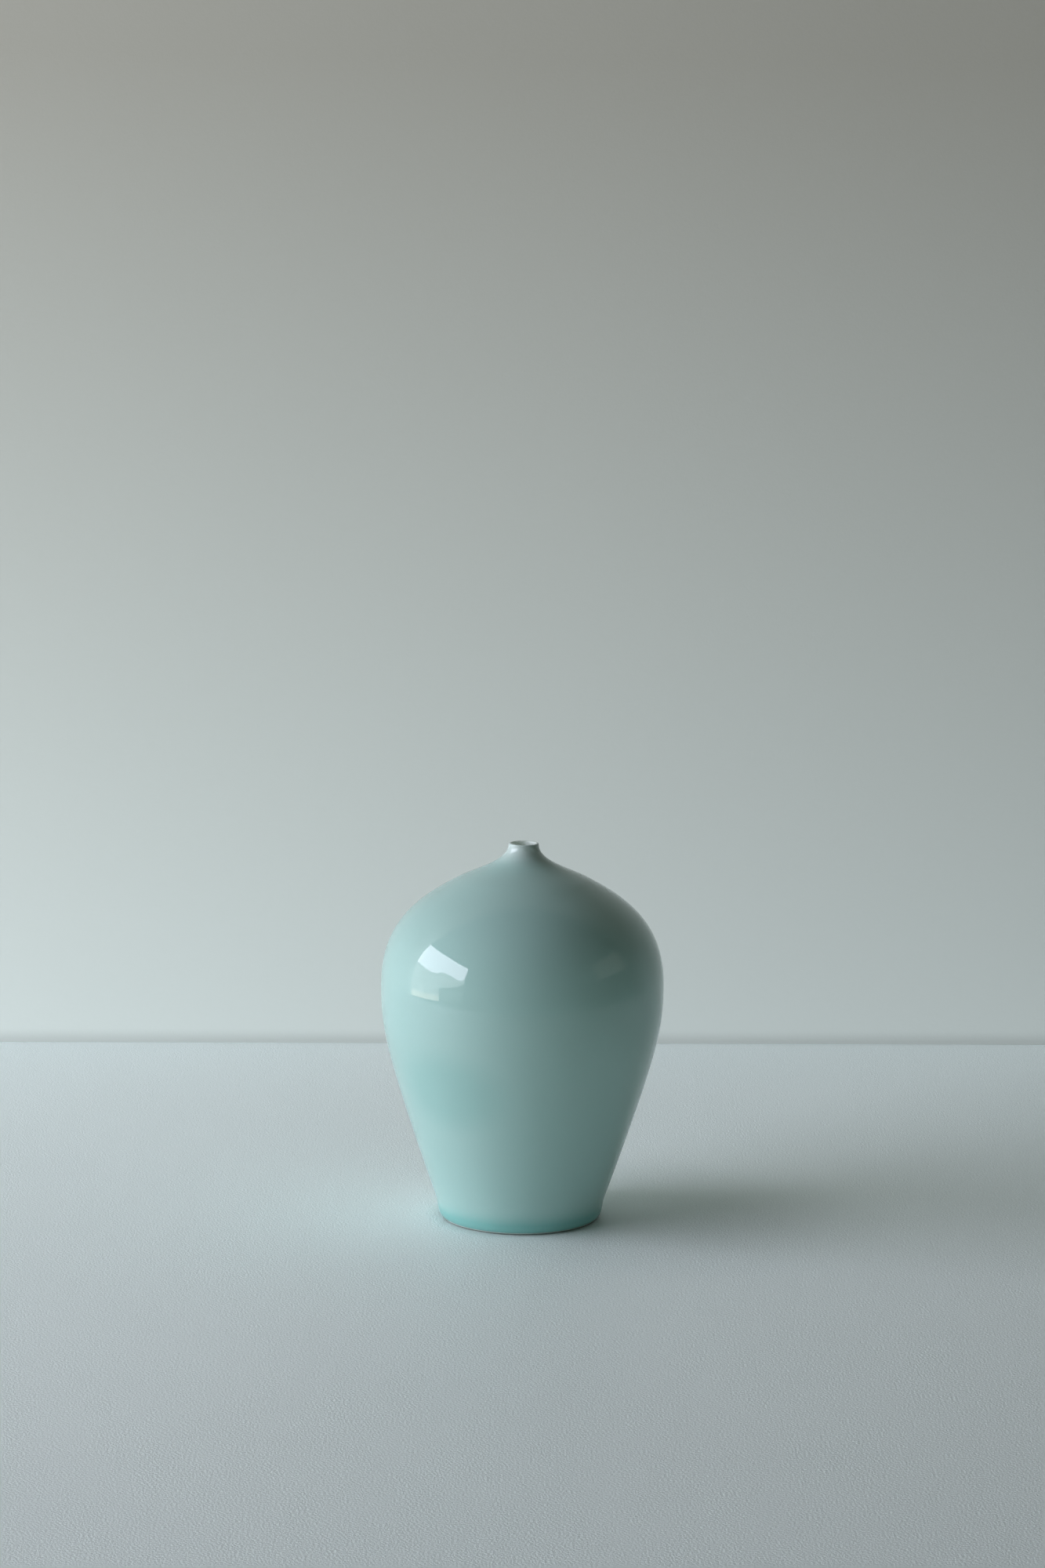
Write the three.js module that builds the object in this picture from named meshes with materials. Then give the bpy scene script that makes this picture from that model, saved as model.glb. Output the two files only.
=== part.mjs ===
// Porcelain bottle vase with a broad round shoulder and a narrow mouth.
// Three sections are thrown apart and luted with slip, a foot ring is luted under the lowest one,
// and glaze covers everything but the foot's lower edge.
// Millimetres, +Z up, standing on Z = 0 with its axis on Z.
import * as THREE from "three";

const segments = 40;

// Outer outline of the glazed vase
const footEdgeRadius = 34.1;
const footEdgeHeight = 1.0;
const footTopRadius = 36.3;
const footTopHeight = 9.0;
const bellyRadius = 60.0;
const bellyHeight = 100.7;
const neckRootRadius = 28.5;
const neckRootHeight = 145.5;
const lipRadius = 6.4;
const vaseHeight = 161.2;
const mouthRadius = 5.15;

// Thickness of the clay, and of the glaze on it
const clayAtFoot = 4.2;
const clayAtBelly = 3.0;
const clayAtNeckRoot = 2.4;
const glazeOnWall = 0.45;
const glazePool = 0.95;
const glazePoolReach = 5.0;
const glazeAtFootEdge = 0.6;
const glazeAtLip = 0.15;
const glazeInside = 0.3;

// Foot ring, the recess inside it, and the floor above it
const footLandInner = 30.6;
const footLandOuter = 33.2;
const recessRadius = 29.8;
const recessDepth = 3.2;
const ringChamfer = 0.8;
const ringBevel = 0.3;
const baseGlazeEdge = 1.2;
const floorThickness = 4.4;
const floorFlatRadius = 20.0;
const floorMeetsWallAbove = 20.0;

// Slip in the seams, and the step that seats each section on the one below
const slipThickness = 0.6;
const footSlipThickness = 0.4;
const stepHeight = 2.2;

// The lip is a half round, as thick as the wall that it ends.
const lipRound = (lipRadius - mouthRadius) / 2;
const lipCentreRadius = mouthRadius + lipRound;
const lipCentreHeight = vaseHeight - lipRound;
const clayAtLip = 2 * lipRound - 2 * glazeAtLip;

const at = (radius, height) => new THREE.Vector2(radius, height);
const { lerp, smoothstep } = THREE.MathUtils;

// Four sweeps make the outline, each starting in the direction in which the last one ends.
const footSweep = new THREE.CubicBezierCurve(
  at(footEdgeRadius, footEdgeHeight),
  at(footEdgeRadius + 1.1, footEdgeHeight + 0.8),
  at(footTopRadius - 0.9, footTopHeight - 2.6),
  at(footTopRadius, footTopHeight),
);
const wallSweep = new THREE.CubicBezierCurve(
  at(footTopRadius, footTopHeight),
  at(bellyRadius - 0.4, bellyHeight - 25.2),
  at(bellyRadius, bellyHeight - 16.0),
  at(bellyRadius, bellyHeight),
);
const shoulderSweep = new THREE.CubicBezierCurve(
  at(bellyRadius, bellyHeight),
  at(bellyRadius, bellyHeight + 25.7),
  at(neckRootRadius + 16.6, neckRootHeight - 9.0),
  at(neckRootRadius, neckRootHeight),
);
const neckSweep = new THREE.CubicBezierCurve(
  at(neckRootRadius, neckRootHeight),
  at(neckRootRadius - 7.8, neckRootHeight + 4.2),
  at(lipRadius, vaseHeight - 7.9),
  at(lipRadius, lipCentreHeight),
);

// Glaze runs thin at the lip and gathers thick round the foot.
function glazeThickness(height) {
  const pooled = Math.exp(-(height - footEdgeHeight) / glazePoolReach);
  const towardsLip = smoothstep(height, neckRootHeight, lipCentreHeight);
  return lerp(lerp(glazeOnWall, glazePool, pooled), glazeAtLip, towardsLip);
}

function innerGlazeThickness(height) {
  return lerp(glazeInside, glazeAtLip, smoothstep(height, neckRootHeight, lipCentreHeight));
}

// The clay is thickest at the foot and is drawn up thinner to the lip.
function clayThickness(height) {
  if (height < bellyHeight)
    return lerp(clayAtFoot, clayAtBelly, smoothstep(height, footTopHeight, bellyHeight));
  if (height < neckRootHeight)
    return lerp(clayAtBelly, clayAtNeckRoot, smoothstep(height, bellyHeight, neckRootHeight));
  return lerp(clayAtNeckRoot, clayAtLip, smoothstep(height, neckRootHeight, lipCentreHeight));
}

// A station is a line square through the wall: it meets the outside of the glaze, both sides of
// the clay, and the inside of the inner glaze.
function stationOn(sweep, along) {
  const outside = sweep.getPointAt(along);
  const direction = sweep.getTangentAt(along);
  const inwards = at(-direction.y, direction.x);
  const below = (depth) => outside.clone().addScaledVector(inwards, depth);
  const clayDepth = glazeThickness(outside.y);
  const hollowDepth = clayDepth + clayThickness(outside.y);
  return {
    glazeOuter: outside,
    clayOuter: below(clayDepth),
    clayInner: below(hollowDepth),
    glazeInner: below(hollowDepth + innerGlazeThickness(outside.y)),
    halfway: (shift) => below((clayDepth + hollowDepth) / 2 + shift),
  };
}

function stationsOn(sweep, steps, first, last) {
  const count = last - first + 1;
  return Array.from({ length: count }, (_, index) => stationOn(sweep, (first + index) / steps));
}

// A seam follows the outline's junction. Its two faces are a slip's thickness apart and each has
// a step at half the wall, so the lower section stands up inside the upper one.
function seamBetween(below, above) {
  const onBelow = (distance) => stationOn(below, 1 - distance / below.getLength());
  const onAbove = (distance) => stationOn(above, distance / above.getLength());
  const half = slipThickness / 2;
  const lower = onBelow(half);
  const upper = onAbove(half);
  const lowerStep = onAbove(stepHeight - half);
  const upperStep = onAbove(stepHeight + half);
  return {
    outer: [lower, upper],
    inner: [lowerStep, upperStep],
    lowerFace: [lower.clayOuter, lower.halfway(half), lowerStep.halfway(half), lowerStep.clayInner],
    upperFace: [upper.clayOuter, upper.halfway(-half), upperStep.halfway(-half), upperStep.clayInner],
  };
}

const footStations = stationsOn(footSweep, 3, 0, 3);
const wallStations = stationsOn(wallSweep, 6, 1, 5);
const shoulderStations = stationsOn(shoulderSweep, 7, 1, 6);
const neckStations = stationsOn(neckSweep, 6, 1, 6);
const bellySeam = seamBetween(wallSweep, shoulderSweep);
const neckSeam = seamBetween(shoulderSweep, neckSweep);

const surface = (stations, name) => stations.map((station) => station[name]);
const reversed = (points) => [...points].reverse();
const closed = (points) => [...points, points[0]];

// Half of the lip's round, from the outside to its crest or from the crest to the mouth
function lipQuarter(depth, fromAngle) {
  const steps = 2;
  const quarter = Math.PI / 2;
  return Array.from({ length: steps + 1 }, (_, step) => {
    const angle = fromAngle + (quarter * step) / steps;
    return at(
      lipCentreRadius + (lipRound - depth) * Math.cos(angle),
      lipCentreHeight + (lipRound - depth) * Math.sin(angle),
    );
  });
}

const lipOutside = (depth) => lipQuarter(depth, 0).slice(1);
const lipInside = (depth) => lipQuarter(depth, Math.PI / 2).slice(0, -1);

// Outer side of the clay at the foot, cut at the two faces of the slip under the floor
const footEdge = at(footEdgeRadius - glazeAtFootEdge, footEdgeHeight);
const footWall = [footEdge, ...surface(footStations.slice(1), "clayOuter")];
const floorBottom = recessDepth + footSlipThickness;
const floorTop = floorBottom + floorThickness;

function onFootWall(height) {
  const above = footWall.findIndex((point) => point.y > height);
  const low = footWall[above - 1];
  const high = footWall[above];
  return low.clone().lerp(high, (height - low.y) / (high.y - low.y));
}

const ringTop = onFootWall(recessDepth);
const floorEdge = onFootWall(floorBottom);
const ringWall = [...footWall.filter((point) => point.y < recessDepth), ringTop];
const baseWall = [floorEdge, ...footWall.filter((point) => point.y > floorBottom)];
const recessTop = at(recessRadius, recessDepth);
const recessCorner = at(recessRadius, floorBottom);

// The floor turns up in one sweep, level where it starts and in line with the wall it meets.
const hollowStations = wallStations.filter((station) => station.clayInner.y > floorMeetsWallAbove);

function floorUpTo(name, level) {
  const [meets, next] = surface(hollowStations, name);
  const lean = (next.x - meets.x) / (next.y - meets.y);
  const corner = at(meets.x - (meets.y - level) * lean, level);
  const sweep = new THREE.QuadraticBezierCurve(at(floorFlatRadius, level), corner, meets);
  const steps = 4;
  return [at(0, level), ...sweep.getPoints(steps).slice(0, -1)];
}

// Each surface of the hollow from the middle of the floor up to the mouth
const clayFloor = floorUpTo("clayInner", floorTop);
const glazeFloor = floorUpTo("glazeInner", floorTop + glazeInside);
const hollowWall = [
  ...hollowStations,
  ...bellySeam.inner,
  ...shoulderStations,
  ...neckSeam.inner,
  ...neckStations,
];

// Each surface of the outside from the foot up to the lip
const outsideWall = [
  ...wallStations,
  ...bellySeam.outer,
  ...shoulderStations,
  ...neckSeam.outer,
  ...neckStations,
];

const profiles = {
  foot_ring: closed([
    at(recessRadius, ringChamfer),
    at(footLandInner, 0),
    at(footLandOuter, 0),
    at(footEdge.x, ringBevel),
    ...ringWall,
    recessTop,
  ]),
  foot_seam_slip: closed([recessTop, ringTop, floorEdge, recessCorner]),
  lower_body: [
    at(0, floorBottom),
    recessCorner,
    ...baseWall,
    ...surface(wallStations, "clayOuter"),
    ...bellySeam.lowerFace,
    ...reversed(surface(hollowStations, "clayInner")),
    ...reversed(clayFloor),
  ],
  belly_seam_slip: closed([...bellySeam.upperFace, ...reversed(bellySeam.lowerFace)]),
  shoulder: closed([
    ...reversed(bellySeam.upperFace),
    ...surface(shoulderStations, "clayOuter"),
    ...neckSeam.lowerFace,
    ...reversed(surface(shoulderStations, "clayInner")),
  ]),
  neck_seam_slip: closed([...neckSeam.upperFace, ...reversed(neckSeam.lowerFace)]),
  neck: closed([
    ...reversed(neckSeam.upperFace),
    ...surface(neckStations, "clayOuter"),
    ...lipOutside(glazeAtLip),
    ...lipInside(glazeAtLip).slice(1),
    ...reversed(surface(neckStations, "clayInner")),
  ]),
  outer_glaze: closed([
    ...surface(footStations, "glazeOuter"),
    ...surface(outsideWall, "glazeOuter"),
    ...lipOutside(0),
    ...reversed(lipOutside(glazeAtLip)),
    ...reversed(surface(outsideWall, "clayOuter")),
    ...reversed(baseWall),
    ...reversed(ringWall),
  ]),
  inner_glaze: [
    ...clayFloor,
    ...surface(hollowWall, "clayInner"),
    ...reversed(lipInside(glazeAtLip)),
    ...lipInside(0),
    ...reversed(surface(hollowWall, "glazeInner")),
    ...reversed(glazeFloor),
  ],
  base_glaze: [
    at(0, floorBottom - glazeInside),
    at(recessRadius - 2 * glazeInside, floorBottom - glazeInside),
    at(recessRadius - glazeInside, floorBottom - 2 * glazeInside),
    at(recessRadius - glazeInside, baseGlazeEdge + glazeInside),
    at(recessRadius, baseGlazeEdge),
    recessTop,
    recessCorner,
    at(0, floorBottom),
  ],
};

const bareClay = { color: 0xe8e4da, roughness: 0.8, metalness: 0 };
const driedSlip = { color: 0xe2ded3, roughness: 0.85, metalness: 0 };
const celadon = { color: 0xa8c9c7, roughness: 0.06, metalness: 0 };

const finishes = {
  foot_ring: bareClay,
  foot_seam_slip: driedSlip,
  lower_body: bareClay,
  belly_seam_slip: driedSlip,
  shoulder: bareClay,
  neck_seam_slip: driedSlip,
  neck: bareClay,
  outer_glaze: celadon,
  inner_glaze: celadon,
  base_glaze: celadon,
};

// Spins a profile of radius and height round the vase's axis.
function spun(name) {
  const geometry = new THREE.LatheGeometry(profiles[name], segments);
  geometry.rotateX(Math.PI / 2);
  const mesh = new THREE.Mesh(geometry, new THREE.MeshStandardMaterial(finishes[name]));
  mesh.name = name;
  return mesh;
}

const vase = new THREE.Group();
vase.name = "vase";
for (const name of Object.keys(profiles)) vase.add(spun(name));

export default vase;
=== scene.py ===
import math
from bisect import bisect_left

import bpy
from mathutils import Matrix, Vector
from mathutils.geometry import interpolate_bezier


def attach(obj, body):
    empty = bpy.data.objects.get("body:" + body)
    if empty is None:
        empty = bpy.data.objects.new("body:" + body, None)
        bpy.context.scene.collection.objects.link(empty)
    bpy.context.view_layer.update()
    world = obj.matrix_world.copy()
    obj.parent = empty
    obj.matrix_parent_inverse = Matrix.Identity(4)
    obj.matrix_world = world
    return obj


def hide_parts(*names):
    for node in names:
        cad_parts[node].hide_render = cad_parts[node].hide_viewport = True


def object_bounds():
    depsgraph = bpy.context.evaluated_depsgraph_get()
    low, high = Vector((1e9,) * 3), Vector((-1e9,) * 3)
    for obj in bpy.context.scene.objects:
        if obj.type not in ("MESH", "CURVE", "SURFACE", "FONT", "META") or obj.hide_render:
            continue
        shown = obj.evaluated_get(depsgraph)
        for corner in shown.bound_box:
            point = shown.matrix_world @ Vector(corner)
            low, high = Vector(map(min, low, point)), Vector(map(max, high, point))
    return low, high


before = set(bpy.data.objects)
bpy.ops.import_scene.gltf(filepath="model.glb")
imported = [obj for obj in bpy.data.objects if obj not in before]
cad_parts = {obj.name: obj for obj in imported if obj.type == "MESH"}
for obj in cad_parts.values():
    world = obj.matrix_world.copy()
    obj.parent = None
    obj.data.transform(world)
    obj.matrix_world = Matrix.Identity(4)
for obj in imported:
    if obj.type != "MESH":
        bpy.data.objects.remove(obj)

cadLow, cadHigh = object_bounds()
print("frame loaded, vase", round(cadHigh.z, 4), "m high")

# Outer outline of the glazed vase as four sweeps of (radius, height) in millimetres, foot to lip
outline = {
    "foot": [(34.1, 1.0), (35.2, 1.8), (35.4, 6.4), (36.3, 9.0)],
    "wall": [(36.3, 9.0), (59.6, 75.5), (60.0, 84.7), (60.0, 100.7)],
    "shoulder": [(60.0, 100.7), (60.0, 126.4), (45.1, 136.5), (28.5, 145.5)],
    "neck": [(28.5, 145.5), (20.7, 149.7), (6.4, 153.3), (6.4, 160.575)],
    "height": 161.2,
    "lipCentre": (5.775, 160.575),
    "lipRound": 0.625,
    "lipSteps": 10,
    "sweepSteps": 120,
}
unit = cadHigh.z / outline["height"]   # metres in one of the outline's millimetres

# Thickness of the clay and of the glaze on it, in millimetres
coats = {
    "clayFoot": 4.2, "clayBelly": 3.0, "clayNeckRoot": 2.4, "clayLip": 0.95,
    "glazeWall": 0.45, "glazePool": 0.95, "poolReach": 5.0, "glazeFootEdge": 0.6,
    "glazeLip": 0.15, "glazeInside": 0.3, "rollDrop": 0.16, "rollIn": 0.2,
}

# Foot ring, the recess inside it and the floor above, in millimetres
footRing = {
    "landInner": 30.6, "landOuter": 33.2, "recessRadius": 29.8, "recessDepth": 3.2,
    "chamfer": 0.8, "bevel": 0.3, "slip": 0.4, "floor": 4.4, "floorFlat": 20.0,
    "floorMeets": 23.5, "glazeEdge": 1.2, "recessFlat": 0.98,   # share of the recess's radius
}

seams = {"slip": 0.6, "step": 2.2}   # slip thickness and step height, in millimetres


def mixed(a, b, share):
    return a + (b - a) * share


def eased(value, low, high):
    share = min(max((value - low) / (high - low), 0.0), 1.0)
    return share * share * (3.0 - 2.0 * share)


# The whole outline as one dense path, with the distance along it at every point
path, pathLength, junctions = [], [], {}
for sweep in ("foot", "wall", "shoulder", "neck"):
    knots = [Vector((r, 0.0, z)) for r, z in outline[sweep]]
    dense = interpolate_bezier(*knots, outline["sweepSteps"])
    for point in dense if not path else dense[1:]:
        pathLength.append(pathLength[-1] + (point - path[-1]).length if path else 0.0)
        path.append(point)
    junctions[sweep] = pathLength[-1]

bellyZ, neckRootZ = outline["wall"][3][1], outline["shoulder"][3][1]
footTopZ, footEdgeZ = outline["foot"][3][1], outline["foot"][0][1]
lipZ = outline["neck"][3][1]


def glazeThickness(z):   # thin at the lip, gathered round the foot
    wall = mixed(coats["glazeWall"], coats["glazePool"], math.exp((footEdgeZ - z) / coats["poolReach"]))
    return mixed(wall, coats["glazeLip"], eased(z, neckRootZ, lipZ))


def clayThickness(z):    # thickest at the foot
    if z < bellyZ:
        return mixed(coats["clayFoot"], coats["clayBelly"], eased(z, footTopZ, bellyZ))
    if z < neckRootZ:
        return mixed(coats["clayBelly"], coats["clayNeckRoot"], eased(z, bellyZ, neckRootZ))
    return mixed(coats["clayNeckRoot"], coats["clayLip"], eased(z, neckRootZ, lipZ))


def innerThickness(z):
    return mixed(coats["glazeInside"], coats["glazeLip"], eased(z, neckRootZ, lipZ))


# A point at some depth under the outline's surface, found by its distance along the outline
def under(distance, layer, shift=0.0):
    high = min(max(bisect_left(pathLength, distance), 1), len(path) - 1)
    low = high - 1
    share = (distance - pathLength[low]) / (pathLength[high] - pathLength[low])
    surface = path[low].lerp(path[high], share)
    before, after = path[max(low - 1, 0)], path[min(high + 1, len(path) - 1)]
    tangent = (after - before).normalized()
    inwards = Vector((-tangent.z, 0.0, tangent.x))
    clayTop = glazeThickness(surface.z)
    hollow = clayTop + clayThickness(surface.z)
    depth = {
        "glazeOuter": 0.0,
        "clayOuter": clayTop,
        "clayMiddle": (clayTop + hollow) / 2.0,
        "clayInner": hollow,
        "glazeInner": hollow + innerThickness(surface.z),
    }[layer]
    return surface + inwards * (depth + shift)


def spaced(start, end, gap):
    steps = max(1, round((end - start) / gap))
    return [mixed(start, end, step / steps) for step in range(steps + 1)]


def along(start, end, gap, layer):
    return [under(distance, layer) for distance in spaced(start, end, gap)]


# Part of a circle or of a flattened round, from one angle to another in degrees
def arc(centre, radius, start, end, steps):
    angles = [math.radians(mixed(start, end, step / steps)) for step in range(steps + 1)]
    return [Vector((centre[0] + radius * math.cos(a), 0.0, centre[1] + radius * math.sin(a)))
            for a in angles]


def at(r, z):
    return Vector((r, 0.0, z))


# Gaps between the stations of a section in millimetres, and steps in its flat and round stretches
stations = {
    "fine": 0.9, "coarse": 2.4, "neck": 1.2, "foot": 0.4, "search": 0.2, "lean": 1.0,
    "floorFlat": 14, "floorTurn": 24, "recessFlat": 40, "recessCorner": 6, "glazeEnd": 5,
    "glazeRoll": 7, "land": 8, "chamfer": 6, "bevel": 5,
}
fine, coarse = stations["fine"], stations["coarse"]
bellySeam, neckSeam, lipEnd = junctions["wall"], junctions["shoulder"], junctions["neck"]
half = seams["slip"] / 2.0


# A seam's lower or upper face, stepped at half the wall
def seamFace(seam, side):
    start = seam - half if side == "lower" else seam + half
    shift = half if side == "lower" else -half
    return [
        under(start, "clayOuter"),
        under(start, "clayMiddle", shift),
        under(start + seams["step"], "clayMiddle", shift),
        under(start + seams["step"], "clayInner"),
    ]


# The floor from its middle outwards, turning up in one sweep into the wall
def floorLine(layer, level):
    distances = spaced(0.0, bellySeam, stations["search"])
    start = next(d for d in distances if under(d, layer).z > footRing["floorMeets"])
    meets, beyond = under(start, layer), under(start + stations["lean"], layer)
    lean = (beyond.x - meets.x) / (beyond.z - meets.z)
    corner = at(meets.x - (meets.z - level) * lean, level)
    flat = at(footRing["floorFlat"], level)
    turn = interpolate_bezier(
        flat, flat.lerp(corner, 2 / 3), meets.lerp(corner, 2 / 3), meets, stations["floorTurn"])
    steps = stations["floorFlat"]
    middle = [at(footRing["floorFlat"] * step / steps, level) for step in range(steps)]
    return middle + turn[:-1], start


floorBottom = footRing["recessDepth"] + footRing["slip"]
floorTop = floorBottom + footRing["floor"]
clayFloor, clayRise = floorLine("clayInner", floorTop)
glazeFloor, glazeRise = floorLine("glazeInner", floorTop + coats["glazeInside"])

lipCentre, lipRound = outline["lipCentre"], outline["lipRound"]
clayRound = lipRound - coats["glazeLip"]
quarter = outline["lipSteps"]
footEdge = at(outline["foot"][0][0] - coats["glazeFootEdge"], footEdgeZ)
footStations = along(coats["glazeFootEdge"], junctions["foot"], stations["foot"], "clayOuter")
footClay = [footEdge] + [point for point in footStations if point.z > footEdgeZ + stations["foot"]]


def footClayAt(z):
    high = next(i for i, point in enumerate(footClay) if point.z > z)
    low = high - 1
    share = (z - footClay[low].z) / (footClay[high].z - footClay[low].z)
    return footClay[low].lerp(footClay[high], share)


ringTop, floorEdge = footClayAt(footRing["recessDepth"]), footClayAt(floorBottom)
recess = footRing["recessRadius"]
wallStart = junctions["foot"]

# The rolled lower edge of the glaze, a little fuller than the clay's edge
glazeStart = at(*outline["foot"][0])
glazeRoll = interpolate_bezier(
    footEdge, footEdge + at(0.0, -coats["rollDrop"]),
    glazeStart + at(-coats["rollIn"], -coats["rollDrop"]), glazeStart, stations["glazeRoll"])

landIn, landOut, landSteps = footRing["landInner"], footRing["landOuter"], stations["land"]
chamfer, bevel = footRing["chamfer"], footRing["bevel"]
landArc = arc((landIn, chamfer), chamfer, 180, 270, stations["chamfer"])
land = [at(mixed(landIn, landOut, step / landSteps), 0.0) for step in range(1, landSteps)]
bevelArc = arc((landOut, bevel), bevel, 270, 360, stations["bevel"])

# The glaze under the foot, from the axis out and down the side of the recess
inner = coats["glazeInside"]
recessFlat = recess * footRing["recessFlat"]
recessSteps, baseLevel = stations["recessFlat"], floorBottom - inner
baseMiddle = [at(recessFlat * step / recessSteps, baseLevel) for step in range(recessSteps)]
baseCorner = arc((recess - 3 * inner, floorBottom - 3 * inner), 2 * inner, 90, 0, stations["recessCorner"])
baseEnd = arc((recess, footRing["glazeEdge"] + inner), inner, 180, 270, stations["glazeEnd"])

# Each piece's section: closed, or from the axis back to the axis, the solid on the left
sections = {
    "outer_glaze": glazeRoll[:-1]
    + along(0.0, lipEnd, fine, "glazeOuter")
    + arc(lipCentre, lipRound, 0, 90, quarter)[1:]
    + arc(lipCentre, clayRound, 90, 0, quarter)
    + along(lipEnd, wallStart, -coarse, "clayOuter")[1:-1]
    + footClay[::-1],
    "inner_glaze": clayFloor
    + along(clayRise, lipEnd, coarse, "clayInner")
    + arc(lipCentre, clayRound, 180, 90, quarter)[1:]
    + arc(lipCentre, lipRound, 90, 180, quarter)
    + along(lipEnd, glazeRise, -fine, "glazeInner")[1:]
    + glazeFloor[::-1],
    "base_glaze": baseMiddle + baseCorner
    + [at(recess - inner, footRing["glazeEdge"] + inner)] + baseEnd[1:]
    + [at(recess, footRing["recessDepth"]), at(recess, floorBottom), at(0.0, floorBottom)],
    "foot_ring": landArc + land
    + bevelArc + [point for point in footClay if point.z < footRing["recessDepth"]]
    + [ringTop, at(recess, footRing["recessDepth"])],
    "foot_seam_slip": [at(recess, footRing["recessDepth"]), ringTop, floorEdge, at(recess, floorBottom)],
    "lower_body": [at(0.0, floorBottom), at(recess, floorBottom), floorEdge]
    + [point for point in footClay if point.z > floorBottom]
    + along(wallStart, bellySeam - half, coarse, "clayOuter")[1:-1]
    + seamFace(bellySeam, "lower")
    + along(bellySeam - half, clayRise, -coarse, "clayInner")[1:]
    + clayFloor[::-1],
    "belly_seam_slip": seamFace(bellySeam, "upper") + seamFace(bellySeam, "lower")[::-1],
    "shoulder": seamFace(bellySeam, "upper")[::-1]
    + along(bellySeam + half, neckSeam - half, coarse, "clayOuter")[1:-1]
    + seamFace(neckSeam, "lower")
    + along(neckSeam - half, bellySeam + half + seams["step"], -coarse, "clayInner")[1:-1],
    "neck_seam_slip": seamFace(neckSeam, "upper") + seamFace(neckSeam, "lower")[::-1],
    "neck": seamFace(neckSeam, "upper")[::-1]
    + along(neckSeam + half, lipEnd, stations["neck"], "clayOuter")[1:-1]
    + arc(lipCentre, clayRound, 0, 180, 2 * quarter)
    + along(lipEnd, neckSeam + half + seams["step"], -stations["neck"], "clayInner")[1:-1],
}
print("sections drawn,", sum(len(points) for points in sections.values()), "points")


# Adds a node: plain values go on its sockets, and other nodes' outputs are linked to them
def put(tree, kind, inputs=None, **settings):
    node = tree.nodes.new(kind)
    for name, value in settings.items():
        setattr(node, name, value)
    for key, value in (inputs or {}).items():
        if isinstance(value, bpy.types.NodeSocket):
            tree.links.new(value, node.inputs[key])
        else:
            node.inputs[key].default_value = value
    return node


def calc(tree, operation, *values, clamp=False):
    node = put(tree, "ShaderNodeMath", dict(enumerate(values)), operation=operation, use_clamp=clamp)
    return node.outputs[0]


def vectorCalc(tree, operation, *values):
    node = put(tree, "ShaderNodeVectorMath", operation=operation)
    for index, value in enumerate(values):
        key = "Scale" if operation == "SCALE" and index == 1 else index
        if isinstance(value, bpy.types.NodeSocket):
            tree.links.new(value, node.inputs[key])
        else:
            node.inputs[key].default_value = value
    return node.outputs[1 if operation in ("LENGTH", "DISTANCE", "DOT_PRODUCT") else 0]


# Geometry Nodes: spins a section drawn in the XZ plane round the Z axis, with the throwing rings
# and the slight unevenness that a wheel-thrown piece has
turning = {
    "pathRadius": 0.05,      # radius of the circle that the section is swept along
    "weld": 1e-7,
    "wobbleScale": 9.0, "wobble": 0.004,      # the second as a share of the radius
    "ringNoiseScale": 55.0, "ringPitch": 0.0055,
    "seed": 3.0,
    "sharpAngle": 38.0,
}


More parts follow.
